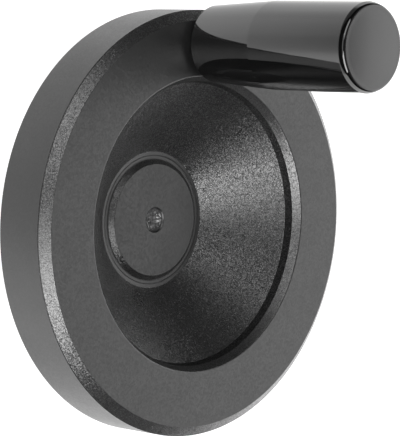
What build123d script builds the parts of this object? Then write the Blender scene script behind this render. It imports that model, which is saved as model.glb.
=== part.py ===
from build123d import *
from math import atan2, cos, radians, tan
import os

# Machine handwheel: a dished disc wheel with a cylindrical grip that revolves on a fixed spindle.
#
#   wheel      aluminium casting: rim, conical web and hub are one piece
#   spindle    turned steel pin, screwed into the rim from its front face
#   snap_ring  open ring of square spring wire that keeps the grip on the spindle
#   grip       moulded plastic sleeve with a closed free end
#
# Frame, in millimetres: +Z is the bore's axis and points to the side that carries the grip.
# The origin is the centre of the hub's back face, and the grip stands over +X.

# Wheel: rim
rim_diameter = 80.0
rim_width = 12.0
overall_height = 29.0
rim_chamfer_radial = 1.9
rim_chamfer_axial = 1.45
rim_back_chamfer = 0.5
ring_width = 10.4

# Wheel: lip inside the ring, and dish
lip_chamfer_radial = 0.95
lip_chamfer_axial = 1.5
lip_wall_radial = 0.3
lip_wall_axial = 1.65
dish_depth = 13.35

# Wheel: web and hub
web_thickness = 5.0
web_fillet = 2.5
hub_diameter = 26.0
hub_back_chamfer = 0.8
hub_groove_width = 1.4
hub_disc_rise = 0.85
hub_disc_bevel = 0.95

# Wheel: blind shaft bore from the back, and drilled centre mark in front
bore_diameter = 10.0
bore_chamfer = 0.5
hub_front_wall = 4.0
centre_mark_diameter = 4.4
centre_mark_wall = 0.6
centre_mark_chamfer = 0.25
drill_point_angle = 118.0

# Spindle
grip_inset = 6.2
thread_diameter = 6.0
thread_fit = 0.02
thread_chamfer = 0.5
thread_setback = 0.5
socket_across_flats = 3.0
socket_depth = 4.0
collar_diameter = 10.0
collar_height = 2.0
journal_diameter = 8.0
journal_chamfer = 0.6

# Snap ring
ring_wire_size = 1.0
ring_seat = 0.05
ring_groove_depth = 0.5
ring_tip_distance = 3.0
ring_opening_angle = 60.0

# Grip
grip_length = 38.2
grip_diameter = 16.3
grip_base_diameter = 14.4
grip_taper_length = 15.2
grip_base_chamfer = 0.2
grip_end_round = 1.0
grip_end_wall = 7.5

# Clearances between the grip and what it turns on
journal_clearance = 0.05
collar_clearance = 0.3
thrust_clearance = 0.2
face_clearance = 1.0
tip_clearance = 0.5
ring_clearance = 0.3

# Levels and radii of the wheel
ring_z = overall_height
rim_back_z = ring_z - rim_width
rim_radius = rim_diameter / 2
ring_outer_radius = rim_radius - rim_chamfer_radial
ring_inner_radius = ring_outer_radius - ring_width
lip_radius = ring_inner_radius - lip_chamfer_radial
lip_z = ring_z - lip_chamfer_axial
dish_radius = lip_radius - lip_wall_radial
dish_z = lip_z - lip_wall_axial
hub_radius = hub_diameter / 2
groove_z = ring_z - dish_depth
groove_radius = hub_radius - hub_groove_width
disc_z = groove_z + hub_disc_rise
disc_radius = groove_radius - hub_disc_bevel
bore_radius = bore_diameter / 2
bore_depth = disc_z - hub_front_wall
mark_radius = centre_mark_diameter / 2

# The web's back is a cone parallel to the dish, one web thickness behind it
web_slope = (dish_z - groove_z) / (dish_radius - hub_radius)
web_drop = web_thickness / cos(atan2(dish_z - groove_z, dish_radius - hub_radius))
web_hub_z = groove_z - web_drop
web_rim_radius = hub_radius + (rim_back_z - web_hub_z) / web_slope

# Levels and radii on the grip's axis
crank_radius = rim_radius - grip_inset
thread_radius = thread_diameter / 2
thread_end_z = rim_back_z + thread_setback
collar_z = ring_z + collar_height
collar_radius = collar_diameter / 2
journal_radius = journal_diameter / 2
grip_base_z = ring_z + face_clearance
grip_end_z = grip_base_z + grip_length
cavity_end_z = grip_end_z - grip_end_wall
journal_end_z = cavity_end_z - tip_clearance
snap_ring_z = journal_end_z - ring_tip_distance
ring_groove_radius = journal_radius - ring_groove_depth
ring_mean_radius = ring_groove_radius + ring_seat + ring_wire_size / 2
ring_groove_half_width = ring_wire_size / 2 + ring_seat
grip_bore_radius = journal_radius + journal_clearance
grip_counterbore_radius = collar_radius + collar_clearance
grip_counterbore_z = collar_z + thrust_clearance
grip_groove_radius = ring_mean_radius + ring_wire_size / 2 + ring_clearance
grip_groove_half_width = ring_wire_size / 2 + ring_clearance

GRIP_AXIS = Location((crank_radius, 0, 0))
CUT_MARGIN = 1.0


def turned(corners):
    """Solid turned about Z from ((radius, height), corner rounding) pairs, in order round the section."""
    points = [point for point, rounding in corners]
    roundings = [rounding for point, rounding in corners]
    with BuildPart() as body:
        with BuildSketch(Plane.XZ):
            with BuildLine():
                FilletPolyline(*points, radius=roundings, close=True)
            make_face()
        revolve(axis=Axis.Z)
    return body.part


def wheel_casting():
    """Rim, web and hub as one turned section, before any hole is made."""
    return turned([
        ((0, 0), 0),
        ((hub_radius - hub_back_chamfer, 0), 0),
        ((hub_radius, hub_back_chamfer), 0),
        ((hub_radius, web_hub_z), web_fillet),
        ((web_rim_radius, rim_back_z), web_fillet),
        ((rim_radius - rim_back_chamfer, rim_back_z), 0),
        ((rim_radius, rim_back_z + rim_back_chamfer), 0),
        ((rim_radius, ring_z - rim_chamfer_axial), 0),
        ((ring_outer_radius, ring_z), 0),
        ((ring_inner_radius, ring_z), 0),
        ((lip_radius, lip_z), 0),
        ((dish_radius, dish_z), 0),
        ((hub_radius, groove_z), 0),
        ((groove_radius, groove_z), 0),
        ((disc_radius, disc_z), 0),
        ((0, disc_z), 0),
    ])


def shaft_bore():
    """Blind reamed bore with a chamfered mouth, open at the hub's back face."""
    return turned([
        ((0, -CUT_MARGIN), 0),
        ((bore_radius + bore_chamfer, -CUT_MARGIN), 0),
        ((bore_radius + bore_chamfer, 0), 0),
        ((bore_radius, bore_chamfer), 0),
        ((bore_radius, bore_depth), 0),
        ((0, bore_depth), 0),
    ])


def centre_mark():
    """Short drilled hole with a conical floor and a chamfered mouth, in the middle of the hub's disc."""
    floor_z = disc_z - centre_mark_wall
    point_z = floor_z - mark_radius / tan(radians(drill_point_angle / 2))
    return turned([
        ((0, point_z), 0),
        ((mark_radius, floor_z), 0),
        ((mark_radius, disc_z - centre_mark_chamfer), 0),
        ((mark_radius + centre_mark_chamfer, disc_z), 0),
        ((mark_radius + centre_mark_chamfer, disc_z + CUT_MARGIN), 0),
        ((0, disc_z + CUT_MARGIN), 0),
    ])


def spindle_hole():
    """Tapped hole right through the rim, countersunk at both faces."""
    hole_radius = thread_radius + thread_fit
    sunk_radius = hole_radius + thread_chamfer
    return GRIP_AXIS * turned([
        ((0, rim_back_z - CUT_MARGIN), 0),
        ((sunk_radius, rim_back_z - CUT_MARGIN), 0),
        ((sunk_radius, rim_back_z), 0),
        ((hole_radius, rim_back_z + thread_chamfer), 0),
        ((hole_radius, ring_z - thread_chamfer), 0),
        ((sunk_radius, ring_z), 0),
        ((sunk_radius, ring_z + CUT_MARGIN), 0),
        ((0, ring_z + CUT_MARGIN), 0),
    ])


def wheel():
    return wheel_casting() - shaft_bore() - centre_mark() - spindle_hole()


def spindle():
    """Threaded end, collar that seats on the ring, journal for the grip, and a groove for the snap ring."""
    pin = turned([
        ((0, thread_end_z), 0),
        ((thread_radius - thread_chamfer, thread_end_z), 0),
        ((thread_radius, thread_end_z + thread_chamfer), 0),
        ((thread_radius, ring_z), 0),
        ((collar_radius, ring_z), 0),
        ((collar_radius, collar_z), 0),
        ((journal_radius, collar_z), 0),
        ((journal_radius, snap_ring_z - ring_groove_half_width), 0),
        ((ring_groove_radius, snap_ring_z - ring_groove_half_width), 0),
        ((ring_groove_radius, snap_ring_z + ring_groove_half_width), 0),
        ((journal_radius, snap_ring_z + ring_groove_half_width), 0),
        ((journal_radius, journal_end_z - journal_chamfer), 0),
        ((journal_radius - journal_chamfer, journal_end_z), 0),
        ((0, journal_end_z), 0),
    ])
    with BuildPart() as socket:
        with BuildSketch(Plane.XY.offset(thread_end_z)):
            RegularPolygon(socket_across_flats / 2, side_count=6, major_radius=False)
        extrude(amount=socket_depth)
    return GRIP_AXIS * (pin - socket.part)


def snap_ring():
    """Ring of square wire, open over +X, seated in the spindle's groove and reaching into the grip's."""
    with BuildPart() as ring:
        with BuildSketch(Plane.XZ):
            with Locations((ring_mean_radius, snap_ring_z)):
                Rectangle(ring_wire_size, ring_wire_size)
        revolve(axis=Axis.Z, revolution_arc=360 - ring_opening_angle)
    return GRIP_AXIS * Rotation(0, 0, ring_opening_angle / 2) * ring.part


def grip():
    """Sleeve that widens from its base to a cylindrical barrel, with a blind stepped bore."""
    return GRIP_AXIS * turned([
        ((grip_counterbore_radius, grip_base_z), 0),
        ((grip_base_diameter / 2 - grip_base_chamfer, grip_base_z), 0),
        ((grip_base_diameter / 2, grip_base_z + grip_base_chamfer), 0),
        ((grip_diameter / 2, grip_base_z + grip_taper_length), 0),
        ((grip_diameter / 2, grip_end_z), grip_end_round),
        ((0, grip_end_z), 0),
        ((0, cavity_end_z), 0),
        ((grip_bore_radius, cavity_end_z), 0),
        ((grip_bore_radius, snap_ring_z + grip_groove_half_width), 0),
        ((grip_groove_radius, snap_ring_z + grip_groove_half_width), 0),
        ((grip_groove_radius, snap_ring_z - grip_groove_half_width), 0),
        ((grip_bore_radius, snap_ring_z - grip_groove_half_width), 0),
        ((grip_bore_radius, grip_counterbore_z), 0),
        ((grip_counterbore_radius, grip_counterbore_z), 0),
    ])


os.makedirs("parts", exist_ok=True)
export_step(wheel(), "parts/wheel.step")
export_step(spindle(), "parts/spindle.step")
export_step(snap_ring(), "parts/snap_ring.step")
export_step(grip(), "parts/grip.step")
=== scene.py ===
import bpy
import bmesh
from math import acos, atan2, cos, pi, radians, sin, tan
from mathutils import Matrix, Vector


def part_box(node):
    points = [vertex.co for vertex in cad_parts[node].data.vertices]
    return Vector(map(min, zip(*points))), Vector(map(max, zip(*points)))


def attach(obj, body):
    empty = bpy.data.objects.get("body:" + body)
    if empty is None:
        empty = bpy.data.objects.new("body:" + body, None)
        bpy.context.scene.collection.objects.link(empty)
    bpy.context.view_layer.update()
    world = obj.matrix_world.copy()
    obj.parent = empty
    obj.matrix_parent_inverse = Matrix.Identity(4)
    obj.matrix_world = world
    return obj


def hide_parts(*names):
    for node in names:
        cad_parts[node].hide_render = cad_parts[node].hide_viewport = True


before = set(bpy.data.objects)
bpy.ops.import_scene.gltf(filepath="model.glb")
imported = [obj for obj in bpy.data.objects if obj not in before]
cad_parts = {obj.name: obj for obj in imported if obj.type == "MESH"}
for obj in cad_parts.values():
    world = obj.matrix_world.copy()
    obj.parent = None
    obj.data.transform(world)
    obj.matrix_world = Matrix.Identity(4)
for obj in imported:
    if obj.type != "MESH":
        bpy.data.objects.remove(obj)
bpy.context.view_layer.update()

# Camera -------------------------------------------------------------------------------------
# A long lens looks down on the front of the wheel from its side, at about 44 degrees.
# It is turned so that the grip, which stands over +X, comes out at the top of the picture.

eye = Vector((0.01506, 0.33931, 0.35601))
aim = Vector((0.00118, 0.00065, 0.02900))
picture_up = Vector((0.9976, 0.0226, -0.0658))

backward = (eye - aim).normalized()
sideways = picture_up.cross(backward).normalized()
camera = bpy.data.objects.new("camera", bpy.data.cameras.new("camera"))
camera.data.sensor_width = 36.0
camera.data.lens = 208.2
camera.data.clip_start = 0.01
camera.data.clip_end = 20.0
camera.matrix_world = Matrix((sideways, backward.cross(sideways), backward)).transposed().to_4x4()
camera.location = eye
bpy.context.collection.objects.link(camera)
bpy.context.scene.camera = camera
bpy.context.scene.view_settings.view_transform = "Standard"

# Wheel --------------------------------------------------------------------------------------
# One aluminium casting: solid rim, conical web and hub. The ring and the outside of the rim are
# turned smooth, the chamfers and the dish stay as cast, and black powder coat covers all of it.
# The shaft goes into a blind bore from behind, so the hub's front only has a drilled centre mark.

wheel_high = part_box("wheel")[1]
rim_radius = wheel_high.x
ring_z = wheel_high.z
rim_width = 0.012
rim_chamfer_radial = 0.0019
rim_chamfer_axial = 0.00145
rim_back_chamfer = 0.0005
ring_width = 0.0104
lip_chamfer_radial = 0.00095
lip_chamfer_axial = 0.0015
lip_wall_radial = 0.0003
lip_wall_axial = 0.00165
dish_depth = 0.01335
web_thickness = 0.005
web_fillet = 0.0025
hub_radius = 0.013
hub_back_chamfer = 0.0008
hub_groove_width = 0.0014
hub_disc_rise = 0.00085
hub_disc_bevel = 0.00095
bore_radius = 0.005
bore_chamfer = 0.0005
hub_front_wall = 0.004
mark_radius = 0.0022
mark_wall = 0.0006
mark_chamfer = 0.00025
drill_point_angle = radians(118)
coat_round = 0.00015
lip_round = 0.0004
bevel_foot_round = 0.0006
dish_foot_round = 0.0005
seam_half_width = 0.00012
seam_depth = 0.00015
groove_dip = 0.00006
hub_line_radius = 0.0123
hub_line_half_width = 0.0001
hub_line_depth = 0.00006
on_axis = 1e-7


class Corner:
    """A corner of a turned section: radius and height, how round it is, and the finish after it.

    A seam is a fine V groove in the place of the corner.
    """

    def __init__(self, radius, height, rounding=0.0, finish=0, seam=False):
        self.place = Vector((radius, height))
        self.rounding = rounding
        self.finish = finish
        self.seam = seam


def outline(corners, steps=4):
    """Points of a closed turned section with round corners: radius, height, finish after it."""
    points = []
    befores = corners[-1:] + corners[:-1]
    afters = corners[1:] + corners[:1]
    for before, corner, after in zip(befores, corners, afters):
        into = (before.place - corner.place).normalized()
        out = (after.place - corner.place).normalized()
        if corner.seam:
            start = corner.place + into * seam_half_width
            bottom = corner.place + (into + out).normalized() * seam_depth
            end = corner.place + out * seam_half_width
            for place in (start, bottom, end):
                points.append((place.x, place.y, corner.finish))
            continue
        if corner.rounding == 0.0:
            points.append((corner.place.x, corner.place.y, corner.finish))
            continue
        half = acos(max(-1.0, min(1.0, into.dot(out)))) / 2
        centre = corner.place + (into + out).normalized() * corner.rounding / sin(half)
        start = corner.place + into * corner.rounding / tan(half) - centre
        end = corner.place + out * corner.rounding / tan(half) - centre
        turn = start.angle_signed(end)
        for step in range(steps + 1):
            spoke = start.copy()
            spoke.rotate(Matrix.Rotation(-turn * step / steps, 2))
            finish = corner.finish if step >= steps / 2 else before.finish
            points.append((centre.x + spoke.x, centre.y + spoke.y, finish))
    return points


def turned(name, points, centre_x=0.0, parts=360):
    """Mesh object turned about an upright axis from a closed section.

    A point nearer to the axis than a ten-thousandth of a millimetre counts as on it.
    """
    mesh = bmesh.new()
    rings = []
    angles = [2 * pi * part / parts for part in range(parts)]
    for radius, height, finish in points:
        if radius < on_axis:
            rings.append([mesh.verts.new((centre_x, 0.0, height))] * parts)
            continue
        spots = [(centre_x + radius * cos(a), radius * sin(a), height) for a in angles]
        rings.append([mesh.verts.new(spot) for spot in spots])
    for index, (ring, following) in enumerate(zip(rings, rings[1:] + rings[:1])):
        if ring[0] is ring[1] and following[0] is following[1]:
            continue
        for part in range(parts):
            side = (part + 1) % parts
            corners = dict.fromkeys((ring[part], ring[side], following[side], following[part]))
            face = mesh.faces.new(corners)
            face.smooth = True
            face.material_index = points[index][2]
    bmesh.ops.recalc_face_normals(mesh, faces=mesh.faces)
    data = bpy.data.meshes.new(name)
    mesh.to_mesh(data)
    mesh.free()
    piece = bpy.data.objects.new(name, data)
    bpy.context.collection.objects.link(piece)
    return piece


SMOOTH, RIM, CHAMFERED, GRAINED, WALL, BEVELLED, DISC, DRILLED = range(8)
rim_back_z = ring_z - rim_width
ring_outer = rim_radius - rim_chamfer_radial
ring_inner = ring_outer - ring_width
lip_radius = ring_inner - lip_chamfer_radial
lip_z = ring_z - lip_chamfer_axial
dish_radius = lip_radius - lip_wall_radial
dish_z = lip_z - lip_wall_axial
groove_z = ring_z - dish_depth
groove_radius = hub_radius - hub_groove_width
hub_line_z = groove_z - groove_dip / 2
disc_z = groove_z + hub_disc_rise
disc_radius = groove_radius - hub_disc_bevel
web_slope = (dish_z - groove_z) / (dish_radius - hub_radius)
web_hub_z = groove_z - web_thickness / cos(atan2(dish_z - groove_z, dish_radius - hub_radius))
web_rim_radius = hub_radius + (rim_back_z - web_hub_z) / web_slope
bore_depth = disc_z - hub_front_wall
mark_floor_z = disc_z - mark_wall
mark_point_z = mark_floor_z - mark_radius / tan(drill_point_angle / 2)


class Socket:
    """An output in a material's node tree. Sums, products and powers of it add Math nodes."""

    def __init__(self, output):
        self.output = output

    @classmethod
    def of(cls, tree, kind, settings, inputs, result=0):
        """Output of a new node of that type, with its settings made first and then its inputs."""
        node = tree.nodes.new(kind)
        for name, value in settings.items():
            setattr(node, name, value)
        for name, value in inputs.items():
            if isinstance(value, cls):
                tree.links.new(value.output, node.inputs[name])
            else:
                node.inputs[name].default_value = value
        return cls(node.outputs[result]) if node.outputs else None

    def maths(self, operation, first, second):
        tree = self.output.id_data
        return Socket.of(tree, "ShaderNodeMath", {"operation": operation}, {0: first, 1: second})

    def __add__(self, other):
        return self.maths("ADD", self, other)

    def __sub__(self, other):
        return self.maths("SUBTRACT", self, other)

    def __rsub__(self, other):
        return self.maths("SUBTRACT", other, self)

    def __mul__(self, other):
        return self.maths("MULTIPLY", self, other)

    def __pow__(self, other):
        return self.maths("POWER", self, other)

    def __rpow__(self, other):
        return self.maths("POWER", other, self)

    __radd__ = __add__
    __rmul__ = __mul__


def new_material(name):
    """Empty node material, with its tree."""
    material = bpy.data.materials.new(name)
    material.use_nodes = True
    material.node_tree.nodes.clear()
    return material, material.node_tree


def noise(tree, place, grain, detail=2.0, roughness=0.5):
    """Noise from 0 to 1 with features about one grain across, in metres."""
    inputs = {"Vector": place, "Scale": 1 / grain, "Detail": detail, "Roughness": roughness}
    return Socket.of(tree, "ShaderNodeTexNoise", {}, inputs)


def blend(tree, factor, first, second):
    """Colour between two. A Mix node's colour sockets share their names, so go by number."""
    first_colour, second_colour, result_colour = 6, 7, 2
    inputs = {"Factor": factor, first_colour: (*first, 1.0), second_colour: (*second, 1.0)}
    return Socket.of(tree, "ShaderNodeMix", {"data_type": "RGBA"}, inputs, result_colour)


cloud_size = 0.006
cloud_dark = Vector((0.9, 0.9, 0.91))
cloud_light = Vector((1.1, 1.1, 1.11))
unevenness = 0.1
gloss_haze = 0.06


def powder_coat(name, grain, lean, roughness, tone, ior, gloss=0.0, sparkle=1.0, coat_ior=2.2):
    """Black powder coat: a cloudy black with grains that each lean their own way.

    Each grain has its own share of the gloss, and the higher the sparkle, the fewer have all of it.
    """
    material, tree = new_material(name)
    place = Socket.of(tree, "ShaderNodeTexCoord", {}, {}, "Object")
    cloud = noise(tree, place, cloud_size)
    shade = blend(tree, cloud, tone * cloud_dark, tone * cloud_light)
    cells = {"Vector": place, "Scale": 1 / grain}
    grains = Socket.of(tree, "ShaderNodeTexVoronoi", {}, cells, "Color")
    upright = Socket.of(tree, "ShaderNodeNewGeometry", {}, {}, "Normal")
    centred = Socket.of(tree, "ShaderNodeVectorMath", {"operation": "SUBTRACT"}, {
        0: grains,
        1: (0.5, 0.5, 0.5),
    })
    leaning = Socket.of(tree, "ShaderNodeVectorMath", {"operation": "MULTIPLY_ADD"}, {
        0: centred,
        1: (lean, lean, lean),
        2: upright,
    })
    facing = Socket.of(tree, "ShaderNodeVectorMath", {"operation": "NORMALIZE"}, {0: leaning})
    chance = Socket.of(tree, "ShaderNodeSeparateColor", {}, {"Color": grains}, "Red")
    shader = Socket.of(tree, "ShaderNodeBsdfPrincipled", {}, {
        "Base Color": shade,
        "Roughness": roughness - unevenness / 2 + unevenness * cloud,
        "IOR": ior,
        "Coat Weight": gloss * chance ** sparkle,
        "Coat Roughness": roughness + gloss_haze,
        "Coat IOR": coat_ior,
        "Normal": facing,
    })
    Socket.of(tree, "ShaderNodeOutputMaterial", {}, {"Surface": shader})
    return material


smooth_coat = powder_coat(
    "smooth_powder_coat", grain=0.0003, lean=0.07, roughness=0.42, tone=0.010, ior=1.86)
rim_coat = powder_coat(
    "rim_powder_coat", grain=0.0003, lean=0.07, roughness=0.38, tone=0.012, ior=1.8)
chamfer_coat = powder_coat(
    "chamfer_powder_coat", grain=0.00014, lean=0.3, roughness=0.32, tone=0.020, ior=1.88,
    gloss=0.85, sparkle=2.0, coat_ior=2.7)
grained_coat = powder_coat(
    "grained_powder_coat", grain=0.00013, lean=0.48, roughness=0.29, tone=0.019, ior=1.54,
    gloss=1.0, sparkle=3.0, coat_ior=3.2)
# The lip wall has the grain of the cast faces. Its darker tone is painted shade for the narrow
# recess under the ring's inner edge.
shaded_wall_coat = powder_coat(
    "wall_painted_shade_coat", grain=0.00017, lean=0.55, roughness=0.3, tone=0.006, ior=1.5,
    gloss=0.7, sparkle=2.0, coat_ior=2.7)
bevel_coat = powder_coat(
    "bevel_powder_coat", grain=0.00016, lean=0.4, roughness=0.34, tone=0.014, ior=1.6, gloss=0.6)
disc_coat = powder_coat(
    "disc_powder_coat", grain=0.0004, lean=0.09, roughness=0.4, tone=0.012, ior=1.74)
drilled_coat = powder_coat(
    "drilled_powder_coat", grain=0.0004, lean=0.8, roughness=0.3, tone=0.08, ior=2.0)

wheel = turned("wheel_casting", outline([
    Corner(0.0, bore_depth, 0.0, SMOOTH),
    Corner(bore_radius, bore_depth, 0.0, SMOOTH),
    Corner(bore_radius, bore_chamfer, 0.0, SMOOTH),
    Corner(bore_radius + bore_chamfer, 0.0, 0.0, SMOOTH),
    Corner(hub_radius - hub_back_chamfer, 0.0, coat_round, SMOOTH),
    Corner(hub_radius, hub_back_chamfer, coat_round, GRAINED),
    Corner(hub_radius, web_hub_z, web_fillet, GRAINED),
    Corner(web_rim_radius, rim_back_z, web_fillet, SMOOTH),
    Corner(rim_radius - rim_back_chamfer, rim_back_z, coat_round, SMOOTH),
    Corner(rim_radius, rim_back_z + rim_back_chamfer, coat_round, RIM),
    Corner(rim_radius, ring_z - rim_chamfer_axial, 0.0, CHAMFERED, True),
    Corner(ring_outer, ring_z, coat_round, SMOOTH),
    Corner(ring_inner, ring_z, lip_round, CHAMFERED),
    Corner(lip_radius, lip_z, coat_round, WALL),
    Corner(dish_radius, dish_z, coat_round, GRAINED),
    Corner(hub_radius, groove_z, dish_foot_round, SMOOTH),
    Corner(hub_line_radius + hub_line_half_width, hub_line_z, 0.0, SMOOTH),
    Corner(hub_line_radius, hub_line_z - hub_line_depth, 0.0, SMOOTH),
    Corner(hub_line_radius - hub_line_half_width, hub_line_z, 0.0, SMOOTH),
    Corner(groove_radius, groove_z - groove_dip, bevel_foot_round, BEVELLED),
    Corner(disc_radius, disc_z, coat_round, DISC),
    Corner(mark_radius + mark_chamfer, disc_z, coat_round, DISC),
    Corner(mark_radius, disc_z - mark_chamfer, coat_round, DRILLED),
    Corner(mark_radius, mark_floor_z, 0.0, DRILLED),
    Corner(0.0, mark_point_z, 0.0, DRILLED),
], steps=6))
for coat in (
    smooth_coat, rim_coat, chamfer_coat, grained_coat,
    shaded_wall_coat, bevel_coat, disc_coat, drilled_coat,
):
    wheel.data.materials.append(coat)

spindle_low, spindle_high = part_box("spindle")
crank_radius = (spindle_low.x + spindle_high.x) / 2
hole_radius = 0.00302
hole_chamfer = 0.0005
drill_margin = 0.001
drill = turned("spindle_drill", outline([
    Corner(0.0, rim_back_z - drill_margin),
    Corner(hole_radius + hole_chamfer, rim_back_z - drill_margin),
    Corner(hole_radius + hole_chamfer, rim_back_z),
    Corner(hole_radius, rim_back_z + hole_chamfer),
    Corner(hole_radius, ring_z - hole_chamfer),
    Corner(hole_radius + hole_chamfer, ring_z),
    Corner(hole_radius + hole_chamfer, ring_z + drill_margin),
    Corner(0.0, ring_z + drill_margin),
]), centre_x=crank_radius, parts=96)


def settle(piece, sharp_angle=30):
    """Applies a piece's modifiers, marks its sharp edges and lets large faces set the shading."""
    graph = bpy.context.evaluated_depsgraph_get()
    piece.data = bpy.data.meshes.new_from_object(piece.evaluated_get(graph))
    piece.modifiers.clear()
    piece.data.set_sharp_from_angle(angle=radians(sharp_angle))
    weigh = piece.modifiers.new("weigh", "WEIGHTED_NORMAL")
    weigh.keep_sharp = True
    weigh.weight = 100


cut = wheel.modifiers.new("drill", "BOOLEAN")
cut.object = drill
cut.solver = "EXACT"
settle(wheel)
bpy.data.objects.remove(drill)
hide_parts("wheel")
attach(wheel, "wheel")

# Spindle ------------------------------------------------------------------------------------
# A turned steel pin, bright zinc plated. Its thread is screwed into the rim until the collar seats
# on the ring, with a hexagon key from behind, and the grip turns on its plain journal.

plate_cloud_size = 0.003
lathe_pitch = 0.00012
lathe_relief = 0.000002


def turned_steel(name, tone, roughness):
    """Turned and plated steel, with fine rings left by the lathe and a slightly uneven shine."""
    material, tree = new_material(name)
    place = Socket.of(tree, "ShaderNodeTexCoord", {}, {}, "Object")
    cloud = noise(tree, place, plate_cloud_size)
    height = Socket.of(tree, "ShaderNodeSeparateXYZ", {}, {"Vector": place}, "Z")
    turns = height * (2 * pi / lathe_pitch)
    rings = Socket.of(tree, "ShaderNodeMath", {"operation": "SINE"}, {0: turns})
    relief = Socket.of(tree, "ShaderNodeBump", {}, {"Distance": lathe_relief, "Height": rings})
    shader = Socket.of(tree, "ShaderNodeBsdfPrincipled", {}, {
        "Base Color": (*tone, 1.0),
        "Metallic": 1.0,
        "Roughness": roughness - unevenness / 2 + unevenness * cloud,
        "Normal": relief,
    })
    Socket.of(tree, "ShaderNodeOutputMaterial", {}, {"Surface": shader})
    return material


plated_steel = turned_steel("zinc_plated_steel", tone=(0.62, 0.63, 0.65), roughness=0.3)
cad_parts["spindle"].data.materials.clear()
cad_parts["spindle"].data.materials.append(plated_steel)

# Snap ring ----------------------------------------------------------------------------------
# A ring of square spring wire, open on one side, which springs into a groove of the spindle and
# reaches into a groove of the grip, so that the grip turns freely but can't be pulled off.

spring_steel = turned_steel("plain_spring_steel", tone=(0.32, 0.32, 0.34), roughness=0.4)
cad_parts["snap_ring"].data.materials.clear()
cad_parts["snap_ring"].data.materials.append(spring_steel)

# Grip ---------------------------------------------------------------------------------------
# A sleeve moulded in one piece from glossy black plastic, closed at its free end. It widens over
# its first 15 mm, then stays cylindrical, and its stepped bore runs on the spindle.

grip_low, grip_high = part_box("grip")
grip_radius = (grip_high.x - grip_low.x) / 2
grip_base_radius = 0.0072
grip_base_chamfer = 0.0002
grip_taper_length = 0.0152
grip_shoulder_round = 0.0005
grip_end_lean = 0.00041
grip_end_lean_height = 0.00105
grip_lean_round = 0.0004
grip_end_round = 0.00065
grip_end_crown = 0.0002
grip_face_radius = 0.0071
crown_steps = 10
grip_end_wall = 0.0075
collar_bore_radius = 0.0053
collar_bore_depth = 0.0012
journal_bore_radius = 0.00405
ring_groove_radius = 0.00485
ring_groove_low = 0.0564
ring_groove_high = 0.058
MOULDED, END = range(2)
collar_bore_z = grip_low.z + collar_bore_depth
cavity_end_z = grip_high.z - grip_end_wall
face_edge_z = grip_high.z - grip_end_crown
crown_parts = [step / crown_steps for step in range(crown_steps, -1, -1)]
crown = [
    Corner(grip_face_radius * part, grip_high.z - grip_end_crown * part ** 2, 0.0, END)
    for part in crown_parts
]

grip = turned("grip_sleeve", outline([
    Corner(0.0, cavity_end_z),
    Corner(journal_bore_radius, cavity_end_z),
    Corner(journal_bore_radius, ring_groove_high),
    Corner(ring_groove_radius, ring_groove_high),
    Corner(ring_groove_radius, ring_groove_low),
    Corner(journal_bore_radius, ring_groove_low),
    Corner(journal_bore_radius, collar_bore_z),
    Corner(collar_bore_radius, collar_bore_z),
    Corner(collar_bore_radius, grip_low.z),
    Corner(grip_base_radius - grip_base_chamfer, grip_low.z),
    Corner(grip_base_radius, grip_low.z + grip_base_chamfer),
    Corner(grip_radius, grip_low.z + grip_taper_length, grip_shoulder_round),
    Corner(grip_radius, face_edge_z - grip_end_lean_height, grip_lean_round, MOULDED),
    Corner(grip_radius - grip_end_lean, face_edge_z, grip_end_round, END),
    *crown,
], steps=8), centre_x=crank_radius, parts=240)

mould_wave_size = 0.006
mould_relief = 0.00002
mould_unevenness = 0.04
haze_size = 0.009
clear_black = (0.004, 0.004, 0.0042)


def moulded_gloss(name, roughness, haze, ior):
    """Glossy black moulded plastic, with the slight waves of its mould and a thin uneven haze."""
    material, tree = new_material(name)
    place = Socket.of(tree, "ShaderNodeTexCoord", {}, {}, "Object")
    wave = noise(tree, place, mould_wave_size, detail=1.0)
    cloud = noise(tree, place, haze_size)
    relief = Socket.of(tree, "ShaderNodeBump", {}, {"Distance": mould_relief, "Height": wave})
    shade = blend(tree, cloud, clear_black, (haze, haze, haze))
    shader = Socket.of(tree, "ShaderNodeBsdfPrincipled", {}, {
        "Base Color": shade,
        "Roughness": roughness + mould_unevenness * wave,
        "IOR": ior,
        "Normal": relief,
    })
    Socket.of(tree, "ShaderNodeOutputMaterial", {}, {"Surface": shader})
    return material


grip.data.materials.append(
    moulded_gloss("moulded_gloss_plastic", roughness=0.03, haze=0.006, ior=1.86))
grip.data.materials.append(
    moulded_gloss("moulded_end_plastic", roughness=0.2, haze=0.02, ior=1.76))
settle(grip)
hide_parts("grip")
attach(grip, "grip")

# Floor and studio light ---------------------------------------------------------------------
# The wheel lies on its hub on a glossy white table. A key and a fill softbox stand either side of
# the camera with a weak one low between them, and two more behind the wheel light its ring. The
# table glows evenly white to the camera. The glow that only mirrored rays see is a painted
# reflection: it fades towards the camera, and grows at the left and far behind.

floor_gap = 0.00005
floor_half_size = 2.0
floor_glow = 0.7
reflection_dim_side = (0.35, 0.94, 0.0)
reflection_bright_side = (-0.9, -0.44, 0.0)
reflection_bright_spot = (-0.05, -0.008, 0.0)
floor_mesh = bmesh.new()
bmesh.ops.create_grid(floor_mesh, x_segments=1, y_segments=1, size=floor_half_size)
floor = bpy.data.objects.new("floor", bpy.data.meshes.new("floor"))
floor_mesh.to_mesh(floor.data)
floor_mesh.free()
floor.location.z = -floor_gap
bpy.context.collection.objects.link(floor)
floor_material, tree = new_material("white_table")
seen = Socket.of(tree, "ShaderNodeLightPath", {}, {}, "Is Camera Ray")
seen = seen + Socket.of(tree, "ShaderNodeLightPath", {}, {}, "Is Transmission Ray")
mirrored = Socket.of(tree, "ShaderNodeLightPath", {}, {}, "Is Glossy Ray")
spot = Socket.of(tree, "ShaderNodeNewGeometry", {}, {}, "Position")


def measured(operation, target):
    """Length in metres that a Vector Math node gives for the spot on the floor and a target."""
    settings = {"operation": operation}
    return Socket.of(tree, "ShaderNodeVectorMath", settings, {0: spot, 1: target}, "Value")


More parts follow.
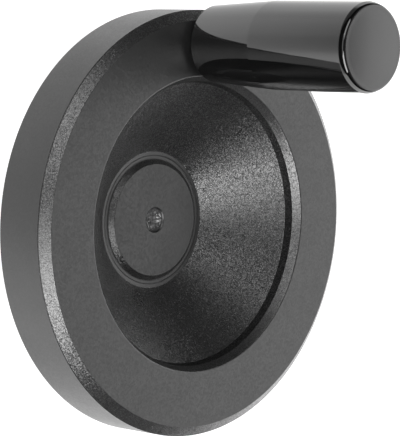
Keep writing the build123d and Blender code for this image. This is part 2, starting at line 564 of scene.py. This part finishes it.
def fading(length, begin, end, first, last):
    """Brightness that goes from first to last as the length goes from begin to end."""
    inputs = {0: length, 1: begin, 2: end, 3: first, 4: last}
    return Socket.of(tree, "ShaderNodeMapRange", {}, inputs)


# Painted reflection: a glow that only mirrored rays see, dim towards the camera, brighter at the
# left, far behind and round a spot beside the wheel.
forward = measured("DOT_PRODUCT", reflection_dim_side)
aside = measured("DOT_PRODUCT", reflection_bright_side)
apart = measured("DISTANCE", reflection_bright_spot)
painted_reflection = fading(forward, begin=0.03, end=0.12, first=0.7, last=0.0)
painted_reflection = painted_reflection + fading(aside, begin=0.09, end=0.15, first=0.0, last=0.38)
painted_reflection = painted_reflection + fading(apart, begin=0.0, end=0.05, first=0.44, last=0.0)
glow = blend(tree, floor_glow * seen + mirrored * painted_reflection, (0.0, 0.0, 0.0), (1.0, 1.0, 1.0))
shader = Socket.of(tree, "ShaderNodeBsdfPrincipled", {}, {
    "Base Color": (0.4, 0.4, 0.4, 1.0),
    "Roughness": 0.3,
    "IOR": 2.0,
    "Emission Color": glow,
    "Emission Strength": 1.35,
})
Socket.of(tree, "ShaderNodeOutputMaterial", {}, {"Surface": shader})
floor.data.materials.append(floor_material)


def softbox(name, azimuth, elevation, width, height, radiance, distance=1.5):
    """Rectangular area lamp that faces the wheel, placed and sized in degrees seen from it."""
    lamp = bpy.data.lights.new(name, "AREA")
    lamp.shape = "RECTANGLE"
    lamp.size = 2 * distance * tan(radians(width / 2))
    lamp.size_y = 2 * distance * tan(radians(height / 2))
    lamp.energy = radiance * pi * lamp.size * lamp.size_y
    fixture = bpy.data.objects.new(name, lamp)
    turn, rise = radians(azimuth), radians(elevation)
    facing = Vector((cos(rise) * cos(turn), cos(rise) * sin(turn), sin(rise)))
    fixture.location = facing * distance
    fixture.rotation_euler = facing.to_track_quat("Z", "Y").to_euler()
    bpy.context.collection.objects.link(fixture)


softbox("key_softbox", azimuth=134, elevation=38, width=40, height=40, radiance=5.0)
softbox("fill_softbox", azimuth=42, elevation=40, width=36, height=34, radiance=2.15)
softbox("back_softbox", azimuth=270, elevation=24, width=60, height=44, radiance=1.75)
softbox("back_softbox_top", azimuth=270, elevation=53, width=60, height=14, radiance=0.6)
softbox("low_softbox", azimuth=87, elevation=26, width=50, height=26, radiance=1.0)

world = bpy.data.worlds.new("studio")
bpy.context.scene.world = world
world.use_nodes = True
world.node_tree.nodes.clear()
tree = world.node_tree
room = Socket.of(tree, "ShaderNodeLightPath", {}, {}, "Is Camera Ray")
room = room + Socket.of(tree, "ShaderNodeLightPath", {}, {}, "Is Transmission Ray")
white = (1.0, 1.0, 1.0, 1.0)
sky = Socket.of(tree, "ShaderNodeBackground", {}, {"Color": white, "Strength": room})
Socket.of(tree, "ShaderNodeOutputWorld", {}, {"Surface": sky})
